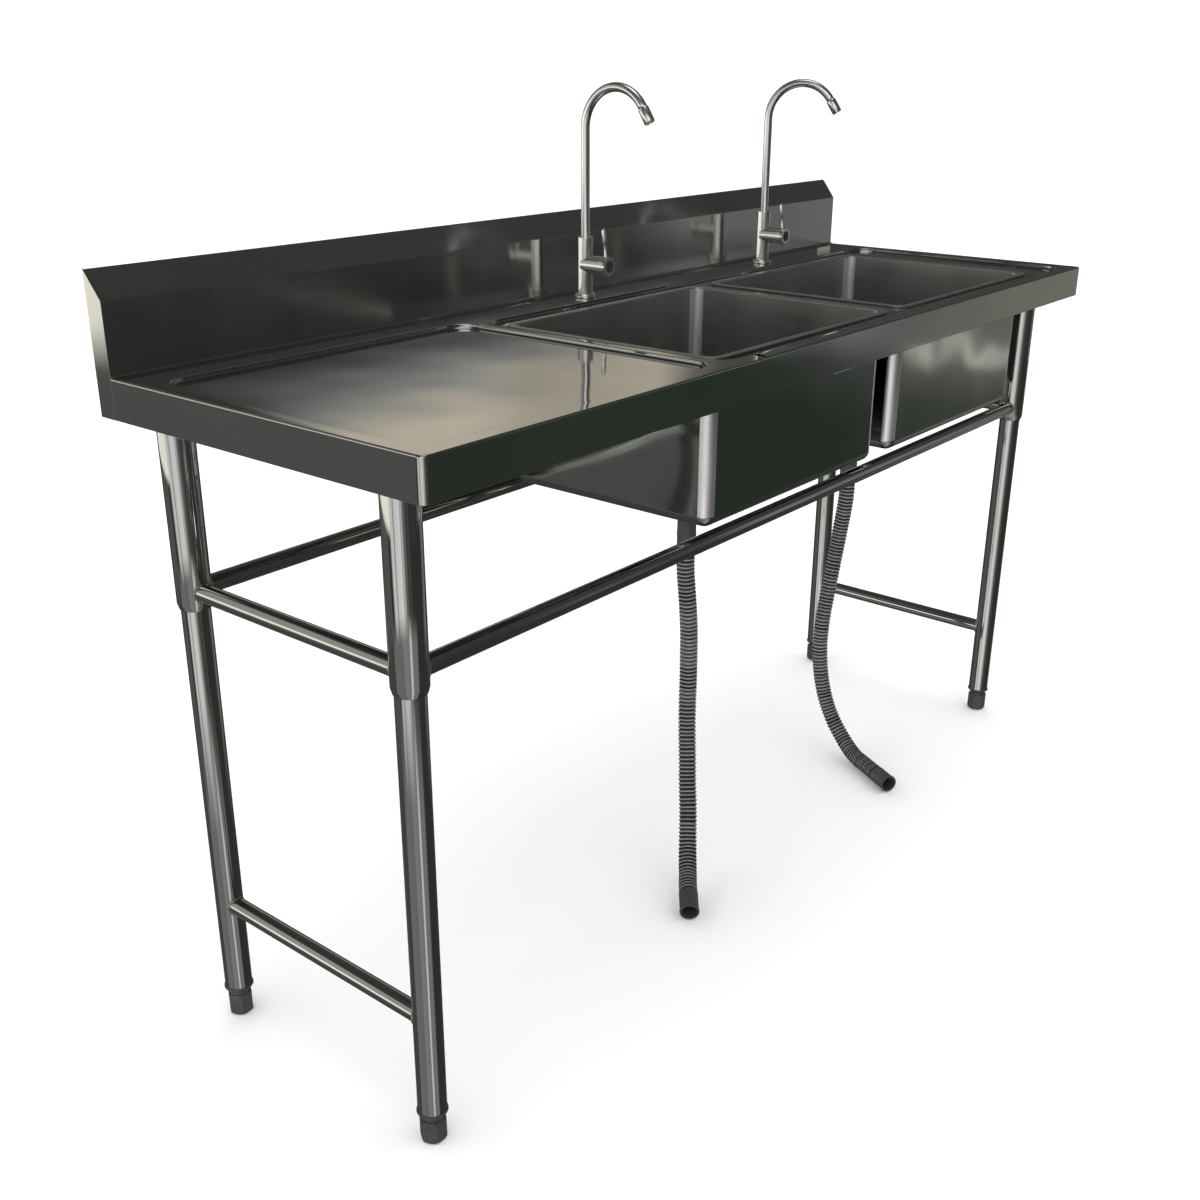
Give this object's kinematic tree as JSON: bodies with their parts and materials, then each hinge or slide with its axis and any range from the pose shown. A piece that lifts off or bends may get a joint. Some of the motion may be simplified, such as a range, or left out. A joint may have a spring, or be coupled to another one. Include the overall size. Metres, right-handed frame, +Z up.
{
  "type": "two-bowl commercial sink bench",
  "caption": "Free-standing steel sink bench with a left drainboard, splashback, pillar taps with swivel spouts, and drain hoses on a tubular leg frame.",
  "frame": {"origin": "on the floor, in the middle of the bench in plan", "axes": "+X to the right along the bench as seen from the front, +Y from the front towards the splashback, +Z up"},
  "size_m": [1.8, 0.6, 1.3255],
  "materials": {
    "worktop_steel": "satin",
    "bowl_steel": "satin",
    "tube_steel": "polished",
    "hidden_steel": "satin",
    "chrome": "polished",
    "dark_plastic": "matte",
    "hose_plastic": "matte",
    "black_rubber": "matte",
    "ceramic": "gloss"
  },
  "bodies": {
    "bench": {"worktop": "worktop_steel", "splashback": "worktop_steel", "splash_end_left": "worktop_steel", "splash_end_right": "worktop_steel", "bowl_left": "bowl_steel", "bowl_right": "bowl_steel", "deck_channels": "hidden_steel", "leg_sockets": "hidden_steel", "leg_screws": "hidden_steel", "leg_sleeve_front_left": "tube_steel", "leg_sleeve_front_right": "tube_steel", "leg_sleeve_back_left": "tube_steel", "leg_sleeve_back_right": "tube_steel", "leg_tube_front_left": "tube_steel", "leg_tube_front_right": "tube_steel", "leg_tube_back_left": "tube_steel", "leg_tube_back_right": "tube_steel", "foot_inserts": "dark_plastic", "rail_front": "tube_steel", "rail_back": "tube_steel", "rail_left": "tube_steel", "rail_right": "tube_steel", "rail_low_left": "tube_steel", "rail_low_right": "tube_steel", "waste_flange_left": "chrome", "waste_flange_right": "chrome", "waste_seal_left": "black_rubber", "waste_seal_right": "black_rubber", "waste_nut_left": "dark_plastic", "waste_nut_right": "dark_plastic", "hose_collar_left": "hose_plastic", "hose_collar_right": "hose_plastic", "hose_left": "hose_plastic", "hose_right": "hose_plastic", "hose_end_left": "hose_plastic", "hose_end_right": "hose_plastic", "tap_base_left": "chrome", "tap_base_right": "chrome", "tap_body_left": "chrome", "tap_body_right": "chrome", "tap_nut_left": "chrome", "tap_nut_right": "chrome", "tap_cartridge_left": "ceramic", "tap_cartridge_right": "ceramic"},
    "spout_left": {"tap_spout_left": "chrome", "tap_aerator_left": "chrome"},
    "lever_left": {"tap_lever_left": "chrome", "tap_cap_left": "black_rubber"},
    "strainer_left": {"strainer_left": "chrome"},
    "spout_right": {"tap_spout_right": "chrome", "tap_aerator_right": "chrome"},
    "lever_right": {"tap_lever_right": "chrome", "tap_cap_right": "black_rubber"},
    "strainer_right": {"strainer_right": "chrome"},
    "foot_front_left": {"foot_front_left": "dark_plastic"},
    "foot_front_right": {"foot_front_right": "dark_plastic"},
    "foot_back_left": {"foot_back_left": "dark_plastic"},
    "foot_back_right": {"foot_back_right": "dark_plastic"}
  },
  "joints": [
    {"name": "spout_left_swivel", "type": "hinge", "parent": "bench", "child": "spout_left", "pos_m": [-0.022, 0.212, 1.081], "axis": [0, 0, 1], "continuous": true},
    {"name": "spout_right_swivel", "type": "hinge", "parent": "bench", "child": "spout_right", "pos_m": [0.532, 0.212, 1.081], "axis": [0, 0, 1], "continuous": true},
    {"name": "lever_left_turn", "type": "hinge", "parent": "bench", "child": "lever_left", "pos_m": [-0.022, 0.166, 1.036], "axis": [0, 1, 0], "range_deg": [0, 90]},
    {"name": "lever_right_turn", "type": "hinge", "parent": "bench", "child": "lever_right", "pos_m": [0.532, 0.166, 1.036], "axis": [0, 1, 0], "range_deg": [0, 90]},
    {"name": "strainer_left_lift", "type": "slide", "parent": "bench", "child": "strainer_left", "axis": [0, 0, 1], "range_m": [0, 0.4]},
    {"name": "strainer_right_lift", "type": "slide", "parent": "bench", "child": "strainer_right", "axis": [0, 0, 1], "range_m": [0, 0.4]},
    {"name": "foot_front_left_height", "type": "slide", "parent": "bench", "child": "foot_front_left", "axis": [0, 0, -1], "range_m": [-0.0025, 0.025]},
    {"name": "foot_front_right_height", "type": "slide", "parent": "bench", "child": "foot_front_right", "axis": [0, 0, -1], "range_m": [-0.0025, 0.025]},
    {"name": "foot_back_left_height", "type": "slide", "parent": "bench", "child": "foot_back_left", "axis": [0, 0, -1], "range_m": [-0.0025, 0.025]},
    {"name": "foot_back_right_height", "type": "slide", "parent": "bench", "child": "foot_back_right", "axis": [0, 0, -1], "range_m": [-0.0025, 0.025]}
  ]
}
